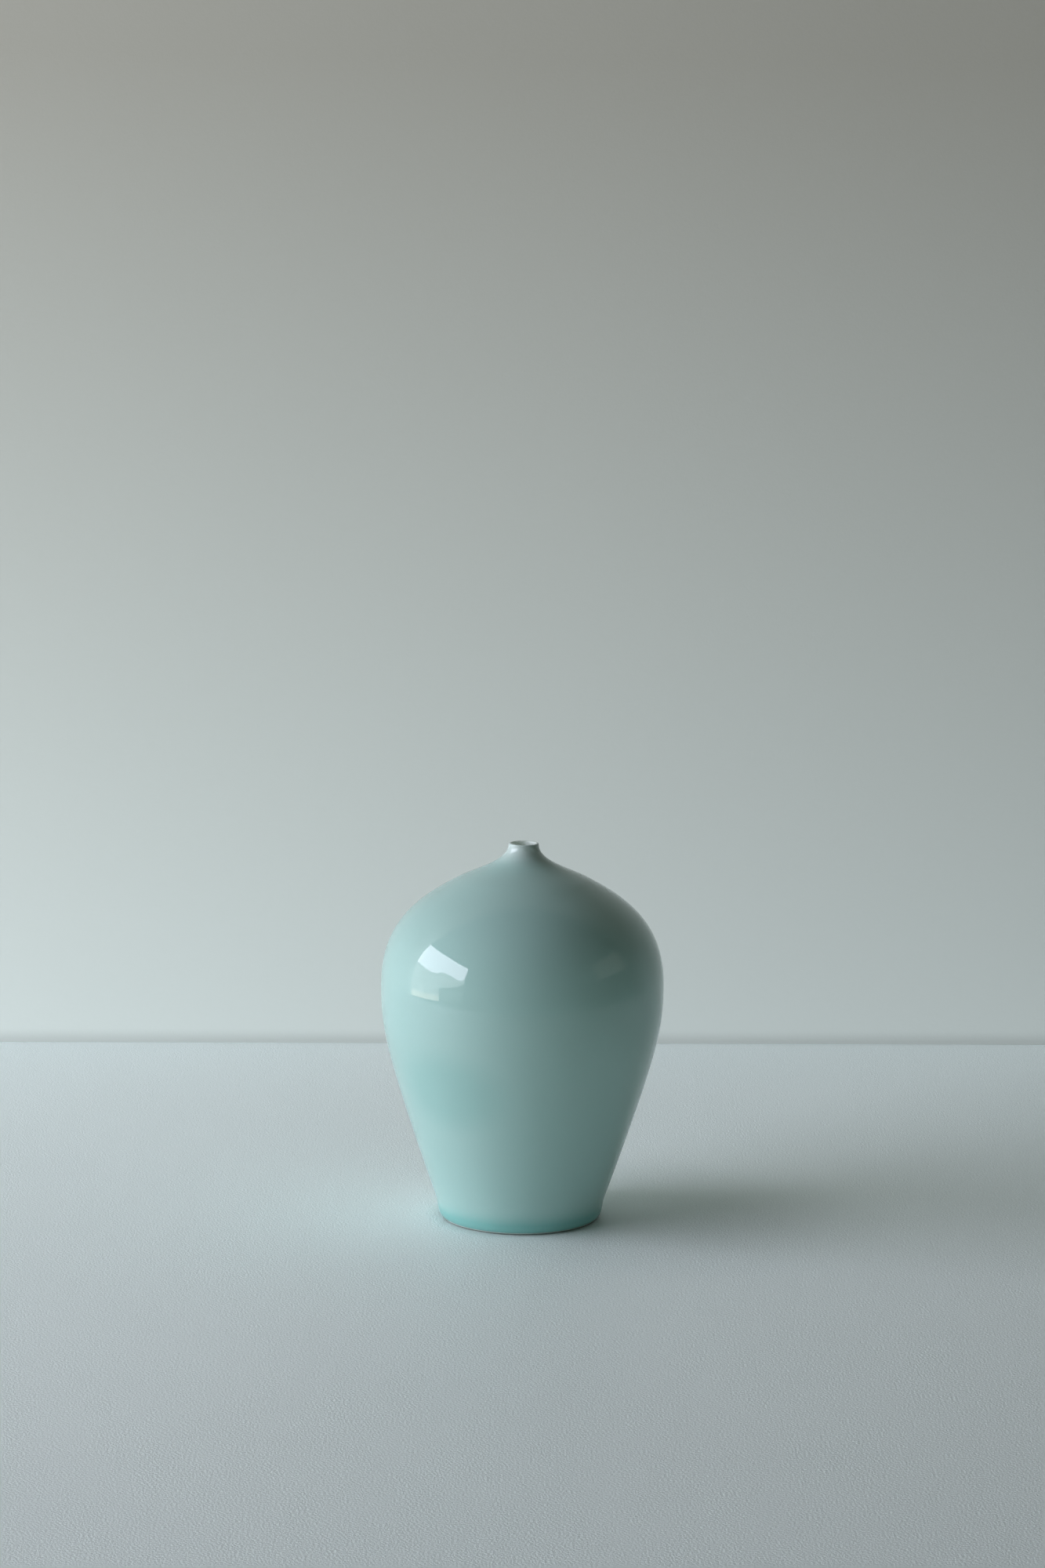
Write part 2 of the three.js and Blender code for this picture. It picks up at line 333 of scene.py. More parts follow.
def makeTurnedTree():
    tree = bpy.data.node_groups.new("turnedPiece", "GeometryNodeTree")
    sockets = (
        ("Section", "NodeSocketGeometry", None),
        ("Closed", "NodeSocketBool", True),
        ("Segments", "NodeSocketInt", 96),
        ("Wobble", "NodeSocketFloat", turning["wobble"]),
        ("Ring Pitch", "NodeSocketFloat", turning["ringPitch"]),
        ("Ring Depth", "NodeSocketFloat", 0.0),
        ("Seed", "NodeSocketFloat", turning["seed"]),
        ("Material", "NodeSocketMaterial", None),
    )
    for name, kind, default in sockets:
        socket = tree.interface.new_socket(name, in_out="INPUT", socket_type=kind)
        if default is not None:
            socket.default_value = default
    tree.interface.new_socket("Piece", in_out="OUTPUT", socket_type="NodeSocketGeometry")
    given = put(tree, "NodeGroupInput").outputs

    # the section becomes a curve in its own plane, in the order in which its points were drawn
    place = put(tree, "GeometryNodeInputPosition").outputs[0]
    drawn = put(tree, "ShaderNodeSeparateXYZ", {0: place}).outputs
    flat = put(tree, "ShaderNodeCombineXYZ", {
        "X": calc(tree, "SUBTRACT", drawn["X"], turning["pathRadius"]),
        "Y": calc(tree, "MULTIPLY", drawn["Z"], -1.0),
    })
    points = put(tree, "GeometryNodeMeshToPoints", {"Mesh": given["Section"]})
    laid = put(tree, "GeometryNodeSetPosition", {
        "Geometry": points.outputs[0], "Position": flat.outputs[0]})
    order = put(tree, "GeometryNodeInputIndex").outputs[0]
    curve = put(tree, "GeometryNodePointsToCurves", {"Points": laid.outputs[0], "Weight": order})
    ring = put(tree, "GeometryNodeSetSplineCyclic", {
        "Geometry": curve.outputs[0], "Cyclic": given["Closed"]})

    circle = put(tree, "GeometryNodeCurvePrimitiveCircle", {
        "Resolution": given["Segments"], "Radius": turning["pathRadius"]})
    upright = put(tree, "GeometryNodeSetCurveNormal", {"Curve": circle.outputs[0]}, mode="Z_UP")
    swept = put(tree, "GeometryNodeCurveToMesh", {
        "Curve": upright.outputs[0], "Profile Curve": ring.outputs[0]})
    welded = put(tree, "GeometryNodeMergeByDistance", {
        "Geometry": swept.outputs[0], "Distance": turning["weld"]})
    outwards = put(tree, "GeometryNodeFlipFaces", {"Mesh": welded.outputs[0]})   # the sweep faces inwards

    # unevenness: the whole wall moves in or out together, in proportion to its radius
    spot = put(tree, "GeometryNodeInputPosition").outputs[0]
    slow = put(tree, "ShaderNodeTexNoise", {
        "Vector": spot, "W": given["Seed"], "Scale": turning["wobbleScale"], "Detail": 0.0,
    }, noise_dimensions="4D").outputs[0]
    amount = calc(tree, "MULTIPLY", calc(tree, "SUBTRACT", slow, 0.5), given["Wobble"])
    outward = vectorCalc(tree, "MULTIPLY", spot, (1.0, 1.0, 0.0))
    uneven = put(tree, "GeometryNodeSetPosition", {
        "Geometry": outwards.outputs[0],
        "Offset": vectorCalc(tree, "SCALE", outward, amount),
    })

    # rings: one ridge that climbs as a helix, where the section says so
    where = put(tree, "GeometryNodeInputNamedAttribute", {"Name": "rings"}, data_type="FLOAT").outputs[0]
    run = put(tree, "GeometryNodeInputNamedAttribute", {"Name": "run"}, data_type="FLOAT").outputs[0]
    here = put(tree, "ShaderNodeSeparateXYZ", {0: spot}).outputs
    angle = calc(tree, "ARCTAN2", here["Y"], here["X"])
    turns = calc(tree, "DIVIDE", run, given["Ring Pitch"])
    phase = calc(tree, "ADD", calc(tree, "MULTIPLY", turns, 2.0 * math.pi), angle)
    varied = put(tree, "ShaderNodeTexNoise", {
        "Vector": spot, "W": given["Seed"], "Scale": turning["ringNoiseScale"], "Detail": 1.0,
    }, noise_dimensions="4D").outputs[0]
    ridge = calc(tree, "MULTIPLY", calc(tree, "SINE", phase), varied)
    height = calc(tree, "MULTIPLY", calc(tree, "MULTIPLY", ridge, where), given["Ring Depth"])
    facing = put(tree, "GeometryNodeInputNormal").outputs[0]
    ridged = put(tree, "GeometryNodeSetPosition", {
        "Geometry": uneven.outputs[0], "Offset": vectorCalc(tree, "SCALE", facing, height)})

    smooth = put(tree, "GeometryNodeSetShadeSmooth", {"Geometry": ridged.outputs[0]})
    real = put(tree, "GeometryNodeRealizeInstances", {"Geometry": smooth.outputs[0]})
    finished = put(tree, "GeometryNodeSetMaterial", {
        "Geometry": real.outputs[0], "Material": given["Material"]})
    put(tree, "NodeGroupOutput", {"Piece": finished.outputs[0]})
    return tree


turnedTree = makeTurnedTree()


# A section as a mesh of points, each with its glaze thickness, its place along the section and
# how strongly the throwing rings show there
def sectionMesh(name, points, ringed):
    mesh = bpy.data.meshes.new(name)
    mesh.from_pydata([point * unit for point in points], [], [])
    glaze = mesh.attributes.new("glaze", "FLOAT", "POINT")
    rings = mesh.attributes.new("rings", "FLOAT", "POINT")
    run = mesh.attributes.new("run", "FLOAT", "POINT")
    length = 0.0
    for index, point in enumerate(points):
        length += (point - points[index - 1]).length if index else 0.0
        glaze.data[index].value = glazeThickness(point.z)
        rings.data[index].value = ringed(index, point)
        run.data[index].value = length * unit
    return mesh


def noRings(index, point):
    return 0.0


def turnPiece(name, material, look, ringed=noRings):
    piece = bpy.data.objects.new("vase_" + name, sectionMesh(name, sections[name], ringed))
    bpy.context.scene.collection.objects.link(piece)
    modifier = piece.modifiers.new("turning", "NODES")
    modifier.node_group = turnedTree
    inputs = {item.name: item.identifier for item in turnedTree.interface.items_tree
              if item.in_out == "INPUT"}
    values = {
        "Closed": look["closed"], "Segments": look["segments"], "Wobble": turning["wobble"],
        "Ring Pitch": turning["ringPitch"], "Ring Depth": look.get("ringDepth", 0.0),
        "Seed": turning["seed"], "Material": material,
    }
    for key, value in values.items():
        modifier[inputs[key]] = value
    depsgraph = bpy.context.evaluated_depsgraph_get()
    mesh = bpy.data.meshes.new_from_object(piece.evaluated_get(depsgraph), depsgraph=depsgraph)
    piece.modifiers.clear()
    piece.data = mesh
    mesh.set_sharp_from_angle(angle=math.radians(turning["sharpAngle"]))
    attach(piece, "root")
    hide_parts(name)
    triangles = sum(len(polygon.vertices) - 2 for polygon in mesh.polygons)
    print("turned", piece.name, triangles, "triangles")


# Shader group: colour of a celadon glaze by its thickness, with slow mottling, streaks that run
# down, and fine bubbles. Thicknesses are in millimetres
glazeTone = {
    "mottleScale": 22.0, "streakScale": 95.0, "streakDrawn": (1.0, 1.0, 0.16), "streakShare": 0.5,
    "thinFrom": 0.12, "thinTo": 0.34, "poolFrom": 0.495, "poolTo": 0.74,
    "bubbleScale": 2400.0, "bubbleCore": 0.1, "bubbleRim": 0.32, "bubbleless": 0.55,
    "bubbleColour": (0.9, 0.95, 0.93, 1.0), "waveScale": 170.0,
    "hazeScale": 38.0, "hazeFrom": 0.5, "hazeTo": 0.75,
}


def makeGlazeGroup():
    tree = bpy.data.node_groups.new("glazeTone", "ShaderNodeTree")
    for name, kind, default in (
        ("Thin Colour", "NodeSocketColor", (0.8, 0.82, 0.8, 1.0)),
        ("Body Colour", "NodeSocketColor", (0.45, 0.65, 0.63, 1.0)),
        ("Pool Colour", "NodeSocketColor", (0.3, 0.58, 0.57, 1.0)),
        ("Thickness", "NodeSocketFloat", 0.45),
        ("Mottle", "NodeSocketFloat", 0.2),
        ("Bubbles", "NodeSocketFloat", 0.05),
    ):
        tree.interface.new_socket(name, in_out="INPUT", socket_type=kind).default_value = default
    for name, kind in (("Colour", "NodeSocketColor"), ("Height", "NodeSocketFloat"),
                       ("Haze", "NodeSocketFloat")):
        tree.interface.new_socket(name, in_out="OUTPUT", socket_type=kind)
    given = put(tree, "NodeGroupInput").outputs
    place = put(tree, "ShaderNodeTexCoord").outputs["Object"]

    slow = put(tree, "ShaderNodeTexNoise", {
        "Vector": place, "Scale": glazeTone["mottleScale"], "Detail": 3.0}).outputs[0]
    drawnOut = put(tree, "ShaderNodeMapping", {
        "Vector": place, "Scale": glazeTone["streakDrawn"]}).outputs[0]
    streak = put(tree, "ShaderNodeTexNoise", {
        "Vector": drawnOut, "Scale": glazeTone["streakScale"], "Detail": 2.0}).outputs[0]
    both = calc(tree, "ADD", slow, calc(tree, "MULTIPLY", streak, glazeTone["streakShare"]))
    drift = calc(tree, "SUBTRACT", both, 0.5 + 0.5 * glazeTone["streakShare"])   # round zero
    depth = calc(tree, "MULTIPLY_ADD", drift, given["Mottle"], given["Thickness"])

    thin = put(tree, "ShaderNodeMapRange", {
        "Value": depth, "From Min": glazeTone["thinFrom"], "From Max": glazeTone["thinTo"],
        "To Min": 1.0, "To Max": 0.0,
    }, interpolation_type="SMOOTHSTEP").outputs[0]
    pool = put(tree, "ShaderNodeMapRange", {
        "Value": depth, "From Min": glazeTone["poolFrom"], "From Max": glazeTone["poolTo"],
    }, interpolation_type="SMOOTHSTEP").outputs[0]
    deep = put(tree, "ShaderNodeMix", {0: pool, 6: given["Body Colour"], 7: given["Pool Colour"]},
               data_type="RGBA").outputs[2]
    toned = put(tree, "ShaderNodeMix", {0: thin, 6: deep, 7: given["Thin Colour"]},
                data_type="RGBA").outputs[2]

    cells = put(tree, "ShaderNodeTexVoronoi", {
        "Vector": place, "Scale": glazeTone["bubbleScale"]}).outputs
    dot = put(tree, "ShaderNodeMapRange", {
        "Value": cells["Distance"], "From Min": glazeTone["bubbleCore"],
        "From Max": glazeTone["bubbleRim"], "To Min": 1.0, "To Max": 0.0,
    }).outputs[0]
    some = put(tree, "ShaderNodeSeparateColor", {0: cells["Color"]}).outputs[0]
    kept = calc(tree, "MULTIPLY", dot, calc(tree, "GREATER_THAN", some, glazeTone["bubbleless"]))
    bubbled = put(tree, "ShaderNodeMix", {
        0: calc(tree, "MULTIPLY", kept, given["Bubbles"]), 6: toned, 7: glazeTone["bubbleColour"],
    }, data_type="RGBA").outputs[2]

    wave = put(tree, "ShaderNodeTexNoise", {
        "Vector": place, "Scale": glazeTone["waveScale"], "Detail": 1.0}).outputs[0]
    haze = put(tree, "ShaderNodeTexNoise", {
        "Vector": place, "Scale": glazeTone["hazeScale"], "Detail": 4.0}).outputs[0]
    hazy = put(tree, "ShaderNodeMapRange", {
        "Value": haze, "From Min": glazeTone["hazeFrom"], "From Max": glazeTone["hazeTo"]}).outputs[0]
    put(tree, "NodeGroupOutput", {"Colour": bubbled, "Height": wave, "Haze": hazy})
    return tree


# Shader group: sparse small specks of iron or grit
def makeSpeckGroup():
    core = 0.4   # share of a speck's size at which it is fully dark
    tree = bpy.data.node_groups.new("ironSpecks", "ShaderNodeTree")
    for name, default in (("Scale", 160.0), ("Size", 0.06), ("Share", 0.02)):
        socket = tree.interface.new_socket(name, in_out="INPUT", socket_type="NodeSocketFloat")
        socket.default_value = default
    tree.interface.new_socket("Mask", in_out="OUTPUT", socket_type="NodeSocketFloat")
    given = put(tree, "NodeGroupInput").outputs
    place = put(tree, "ShaderNodeTexCoord").outputs["Object"]
    cells = put(tree, "ShaderNodeTexVoronoi", {"Vector": place, "Scale": given["Scale"]}).outputs
    spot = put(tree, "ShaderNodeMapRange", {
        "Value": cells["Distance"], "From Min": calc(tree, "MULTIPLY", given["Size"], core),
        "From Max": given["Size"], "To Min": 1.0, "To Max": 0.0,
    }).outputs[0]
    pick = put(tree, "ShaderNodeSeparateColor", {0: cells["Color"]}).outputs[1]
    chosen = calc(tree, "LESS_THAN", pick, given["Share"])
    put(tree, "NodeGroupOutput", {"Mask": calc(tree, "MULTIPLY", spot, chosen)})
    return tree


# Shader group: fine grain of fired clay, the lines left by turning it on the wheel, soil low down
# and painted shade: a dark contact-shadow line on the outer edge that the pot stands on. Heights and radii
# are in metres
clayTone = {
    "grainShare": 0.4, "patchScale": 120.0, "patchFrom": 0.42, "patchTo": 0.68, "soilTop": 0.0009,
    "shadeFullBelow": 0.00035, "shadeNoneAbove": 0.0007, "edgeInside": 0.0328, "edgeOutside": 0.0333,
}


def makeTurnedClayGroup():
    tree = bpy.data.node_groups.new("turnedClay", "ShaderNodeTree")
    for name, default in (("Grain Scale", 1500.0), ("Line Scale", 1400.0), ("Line Depth", 0.6)):
        socket = tree.interface.new_socket(name, in_out="INPUT", socket_type="NodeSocketFloat")
        socket.default_value = default
    for name in ("Grain", "Lines", "Height", "Soil", "Edge"):
        tree.interface.new_socket(name, in_out="OUTPUT", socket_type="NodeSocketFloat")
    given = put(tree, "NodeGroupInput").outputs
    place = put(tree, "ShaderNodeTexCoord").outputs["Object"]
    split = put(tree, "ShaderNodeSeparateXYZ", {0: place}).outputs
    radius = vectorCalc(tree, "LENGTH", vectorCalc(tree, "MULTIPLY", place, (1.0, 1.0, 0.0)))
    across = calc(tree, "ADD", radius, split["Z"])
    grain = put(tree, "ShaderNodeTexNoise", {
        "Vector": place, "Scale": given["Grain Scale"], "Detail": 2.0}).outputs[0]
    lines = put(tree, "ShaderNodeTexNoise", {
        "W": across, "Scale": given["Line Scale"], "Detail": 3.0}, noise_dimensions="1D").outputs[0]
    rough = calc(tree, "MULTIPLY", grain, clayTone["grainShare"])
    height = calc(tree, "MULTIPLY_ADD", lines, given["Line Depth"], rough)
    patches = put(tree, "ShaderNodeTexNoise", {
        "Vector": place, "Scale": clayTone["patchScale"], "Detail": 5.0}).outputs[0]
    low = put(tree, "ShaderNodeMapRange", {
        "Value": split["Z"], "From Min": 0.0, "From Max": clayTone["soilTop"],
        "To Min": 1.0, "To Max": 0.0,
    }).outputs[0]
    soil = calc(tree, "MULTIPLY", low, put(tree, "ShaderNodeMapRange", {
        "Value": patches, "From Min": clayTone["patchFrom"], "From Max": clayTone["patchTo"]}).outputs[0])
    # painted shade: a contact shadow, fully dark at the very bottom of the foot and gone a fraction of a
    # millimetre up, only on the outer rim of the land
    bottom = put(tree, "ShaderNodeMapRange", {
        "Value": split["Z"], "From Min": clayTone["shadeFullBelow"], "From Max": clayTone["shadeNoneAbove"],
        "To Min": 1.0, "To Max": 0.0,
    }, interpolation_type="SMOOTHSTEP").outputs[0]
    outside = put(tree, "ShaderNodeMapRange", {
        "Value": radius, "From Min": clayTone["edgeInside"], "From Max": clayTone["edgeOutside"],
    }).outputs[0]
    edge = calc(tree, "MULTIPLY", bottom, outside)
    put(tree, "NodeGroupOutput", {
        "Grain": grain, "Lines": lines, "Height": height, "Soil": soil, "Edge": edge})
    return tree


glazeGroup, speckGroup, clayGroup = makeGlazeGroup(), makeSpeckGroup(), makeTurnedClayGroup()


def newMaterial(name):
    material = bpy.data.materials.new(name)
    material.use_nodes = True
    material.node_tree.nodes.clear()
    return material, material.node_tree


def glazeMaterial(name, look):
    material, tree = newMaterial(name)
    thickness = put(tree, "ShaderNodeAttribute", attribute_name="glaze").outputs["Fac"]
    tone = put(tree, "ShaderNodeGroup", node_tree=glazeGroup)
    for key, value in (("Thin Colour", look["thin"]), ("Body Colour", look["body"]),
                       ("Pool Colour", look["pool"])):
        tone.inputs[key].default_value = (*value, 1.0)
    tone.inputs["Mottle"].default_value = look["mottle"]
    tone.inputs["Bubbles"].default_value = look["bubbles"]
    tree.links.new(calc(tree, "MULTIPLY", thickness, look["thickness"]), tone.inputs["Thickness"])
    specks = put(tree, "ShaderNodeGroup", node_tree=speckGroup)
    specks.inputs["Share"].default_value = look["specks"]
    glazed = tone.outputs["Colour"]
    if "pourMark" in look:   # one soft patch where the pour ran over itself
        place = put(tree, "ShaderNodeTexCoord").outputs["Object"]
        away = vectorCalc(tree, "SUBTRACT", place, look["pourMark"])
        flattened = vectorCalc(tree, "MULTIPLY", away, (1.0, 1.0, look["pourFlat"]))
        patch = put(tree, "ShaderNodeMapRange", {
            "Value": vectorCalc(tree, "LENGTH", flattened), "From Min": look["pourCore"],
            "From Max": look["pourReach"], "To Min": look["pourDepth"], "To Max": 0.0,
        }, interpolation_type="SMOOTHSTEP").outputs[0]
        glazed = put(tree, "ShaderNodeMix", {0: patch, 6: glazed, 7: (*look["pool"], 1.0)},
                     data_type="RGBA").outputs[2]
    colour = put(tree, "ShaderNodeMix", {
        0: calc(tree, "MULTIPLY", specks.outputs["Mask"], look["speckDark"]), 6: glazed,
        7: (*look["speck"], 1.0)}, data_type="RGBA").outputs[2]
    roughness = put(tree, "ShaderNodeMapRange", {
        "Value": tone.outputs["Haze"], "To Min": look["roughness"], "To Max": look["hazeRoughness"],
    }).outputs[0]
    bump = put(tree, "ShaderNodeBump", {
        "Height": tone.outputs["Height"], "Strength": look["waviness"],
        "Distance": look["waveDepth"]}).outputs[0]
    shader = put(tree, "ShaderNodeBsdfPrincipled", {
        "Base Color": colour, "Roughness": roughness, "Normal": bump, "IOR": 1.52})
    if "lipGlow" in look:   # daylight that comes through the thin wall at the mouth
        up = put(tree, "ShaderNodeSeparateXYZ", {
            0: put(tree, "ShaderNodeTexCoord").outputs["Object"]}).outputs["Z"]
        glow = put(tree, "ShaderNodeMapRange", {
            "Value": up, "From Min": look["glowFrom"], "From Max": look["glowTo"]}).outputs[0]
        tree.links.new(vectorCalc(tree, "SCALE", look["lipGlow"], glow), shader.inputs["Emission Color"])
        shader.inputs["Emission Strength"].default_value = 1.0
    put(tree, "ShaderNodeOutputMaterial", {"Surface": shader.outputs[0]})
    return material


def clayMaterial(name, look):
    material, tree = newMaterial(name)
    clay = put(tree, "ShaderNodeGroup", node_tree=clayGroup)
    clay.inputs["Line Depth"].default_value = look["lineDepth"]
    specks = put(tree, "ShaderNodeGroup", node_tree=speckGroup)
    specks.inputs["Scale"].default_value = look["speckScale"]
    specks.inputs["Share"].default_value = look["specks"]
    grained = put(tree, "ShaderNodeMix", {
        0: clay.outputs["Grain"], 6: (*look["dark"], 1.0), 7: (*look["light"], 1.0),
    }, data_type="RGBA").outputs[2]
    soiled = put(tree, "ShaderNodeMix", {
        0: calc(tree, "MULTIPLY", clay.outputs["Soil"], look["soil"]), 6: grained,
        7: (*look["soilColour"], 1.0)}, data_type="RGBA").outputs[2]
    # painted shade: a dark contact-shadow line along the lowest outer edge of the foot ring
    edgeShaded = put(tree, "ShaderNodeMix", {
        0: calc(tree, "MULTIPLY", clay.outputs["Edge"], look["paintedEdgeShade"]), 6: soiled,
        7: (*look["edgeShadeColour"], 1.0)}, data_type="RGBA").outputs[2]
    colour = put(tree, "ShaderNodeMix", {
        0: specks.outputs["Mask"], 6: edgeShaded, 7: (*look["speck"], 1.0)}, data_type="RGBA").outputs[2]
    roughness = put(tree, "ShaderNodeMapRange", {
        "Value": clay.outputs["Lines"], "To Min": look["smoothest"],
        "To Max": look["roughest"]}).outputs[0]
    bump = put(tree, "ShaderNodeBump", {
        "Height": clay.outputs["Height"], "Strength": 0.5, "Distance": look["grainDepth"]}).outputs[0]
    shader = put(tree, "ShaderNodeBsdfPrincipled", {
        "Base Color": colour, "Roughness": roughness, "Normal": bump})
    put(tree, "ShaderNodeOutputMaterial", {"Surface": shader.outputs[0]})
    return material


# The outside: pale at the lip, deep where the glaze gathers at the foot
outerPiece = {"segments": 176, "closed": True}
outerGlaze = glazeMaterial("celadonGlaze", {
    "thin": (0.68, 0.785, 0.765), "body": (0.445, 0.67, 0.637), "pool": (0.245, 0.55, 0.52),
    "thickness": 1.0, "mottle": 0.07, "bubbles": 0.10,
    "speck": (0.30, 0.33, 0.27), "specks": 0.004, "speckDark": 0.55,
    "roughness": 0.012, "hazeRoughness": 0.03, "waviness": 0.03, "waveDepth": 0.0006,
    "pourMark": (-0.030, -0.042, 0.064), "pourFlat": 1.5, "pourCore": 0.0119, "pourReach": 0.034,
    "pourDepth": 0.3,
})
turnPiece("outer_glaze", outerGlaze, outerPiece)

# The inside, with throwing rings from the floor up to the neck; heights in millimetres
innerPiece = {"segments": 160, "closed": False, "ringDepth": 0.0005, "ringsFrom": 4.0, "ringsFull": 14.0}
innerGlaze = glazeMaterial("innerGlaze", {
    "thin": (0.78, 0.83, 0.80), "body": (0.52, 0.69, 0.67), "pool": (0.38, 0.62, 0.60),
    "thickness": 0.9, "mottle": 0.2, "bubbles": 0.12,
    "speck": (0.30, 0.33, 0.27), "specks": 0.01, "speckDark": 0.55,
    "roughness": 0.06, "hazeRoughness": 0.14, "waviness": 0.12, "waveDepth": 0.0006,
    "lipGlow": (0.055, 0.07, 0.06), "glowFrom": 0.150, "glowTo": 0.159,
})


def insideRings(index, point):
    inside = index > len(sections["inner_glaze"]) / 2 and point.z < neckRootZ
    return eased(point.z, innerPiece["ringsFrom"], innerPiece["ringsFull"]) if inside else 0.0


turnPiece("inner_glaze", innerGlaze, innerPiece, insideRings)

# Under the foot, with faint rings over the middle of the recess; radii in millimetres
basePiece = {"segments": 160, "closed": False, "ringDepth": 0.0004, "ringShare": 0.18,
             "ringsIn": (1.0, 4.0), "ringsOut": (24.0, 28.0)}
baseGlaze = glazeMaterial("baseGlaze", {
    "thin": (0.78, 0.83, 0.80), "body": (0.55, 0.72, 0.70), "pool": (0.40, 0.64, 0.62),
    "thickness": 0.62, "mottle": 0.25, "bubbles": 0.15,
    "speck": (0.30, 0.24, 0.17), "specks": 0.03, "speckDark": 0.55,
    "roughness": 0.05, "hazeRoughness": 0.16, "waviness": 0.15, "waveDepth": 0.0006,
})


def recessRings(index, point):
    if index >= recessSteps:
        return 0.0
    rise = eased(point.x, *basePiece["ringsIn"])
    return basePiece["ringShare"] * rise * (1.0 - eased(point.x, *basePiece["ringsOut"]))


turnPiece("base_glaze", baseGlaze, basePiece, recessRings)

# The foot ring is the only clay that shows; the rest lies under glaze and is turned more coarsely
ringPiece = {"segments": 160, "closed": True}
bareClay = clayMaterial("bareClay", {
    "dark": (0.66, 0.72, 0.70), "light": (0.78, 0.83, 0.81), "lineDepth": 0.7,
    "speck": (0.3, 0.2, 0.13), "speckScale": 420.0, "specks": 0.01,
    "soil": 0.12, "soilColour": (0.33, 0.31, 0.27),
    # the dark edge colour below is a painted contact shadow along the standing edge
    "paintedEdgeShade": 0.85, "edgeShadeColour": (0.09, 0.11, 0.10),
    "smoothest": 0.62, "roughest": 0.82, "grainDepth": 0.00012,
})
turnPiece("foot_ring", bareClay, ringPiece)

hiddenPiece = {"segments": 96, "closed": True}
floorPiece = {"segments": 96, "closed": False}   # its section runs from the axis back to the axis
driedSlip = clayMaterial("driedSlip", {
    "dark": (0.66, 0.63, 0.56), "light": (0.82, 0.80, 0.73), "lineDepth": 0.25,
    "speck": (0.3, 0.2, 0.13), "speckScale": 500.0, "specks": 0.02,
    "soil": 0.0, "soilColour": (0.33, 0.31, 0.27),
    "paintedEdgeShade": 0.0, "edgeShadeColour": (0.09, 0.11, 0.10),
    "smoothest": 0.72, "roughest": 0.92, "grainDepth": 0.00012,
})
turnPiece("foot_seam_slip", driedSlip, hiddenPiece)
turnPiece("lower_body", bareClay, floorPiece)
turnPiece("belly_seam_slip", driedSlip, hiddenPiece)
turnPiece("shoulder", bareClay, hiddenPiece)
turnPiece("neck_seam_slip", driedSlip, hiddenPiece)
turnPiece("neck", bareClay, hiddenPiece)
print("vase made")

# The room: a round pale table in front of a pale wall, lit from the left
table = {
    "radius": 0.67, "centre": (0.0, 0.165), "back": 0.345, "thick": 0.03, "edge": 0.003, "steps": 180,
    "colour": (0.87, 0.94, 0.93), "grainScale": 1100.0, "grainDepth": 0.00032,
    "patchScale": 5.0, "patchDepth": 0.03, "roughness": 0.5, "gap": 0.00002,
    "glow": (0.086, 0.098, 0.100), "glowFrom": -0.75, "glowTo": 0.25,
    "shadeAt": (0.06, 0.0, 0.0), "shadeNear": 0.02, "shadeFar": 0.11, "footNear": 0.034, "footFar": 0.042,
}
wall = {
    "distance": 0.330, "turn": 1.9, "left": -1.7, "right": 2.5, "top": 1.6, "bottom": -0.4,
    "colour": (0.24, 0.24, 0.235), "glowLow": (0.38, 0.44, 0.44), "glowHigh": (0.185, 0.185, 0.16),
    "highAt": 0.5, "falloff": -0.83, "footShade": 0.72, "footReach": 0.008,
    "grainScale": 600.0, "grainDepth": 0.00008,
    "patchScale": 5.0, "patchDepth": 0.03, "roughness": 0.8,
}


def stageMesh(name, corners, faces, material):
    mesh = bpy.data.meshes.new(name)
    mesh.from_pydata(corners, [], faces)
    mesh.materials.append(material)
    thing = bpy.data.objects.new(name, mesh)
    bpy.context.scene.collection.objects.link(thing)
    return thing


def makePaint(name, look):
    material, tree = newMaterial(name)
    place = put(tree, "ShaderNodeTexCoord").outputs["Object"]
    grain = put(tree, "ShaderNodeTexNoise", {
        "Vector": place, "Scale": look["grainScale"], "Detail": 3.0}).outputs[0]
    slow = put(tree, "ShaderNodeTexNoise", {
        "Vector": place, "Scale": look["patchScale"], "Detail": 2.0}).outputs[0]
    tone = put(tree, "ShaderNodeMapRange", {
        "Value": slow, "To Min": 1.0 - look["patchDepth"], "To Max": 1.0 + look["patchDepth"]}).outputs[0]
    painted = vectorCalc(tree, "SCALE", look["colour"], tone)
    bump = put(tree, "ShaderNodeBump", {
        "Height": grain, "Strength": 1.0, "Distance": look["grainDepth"]}).outputs[0]
    shader = put(tree, "ShaderNodeBsdfPrincipled", {
        "Base Color": painted, "Roughness": look["roughness"], "Normal": bump})
    return material, tree, place, shader


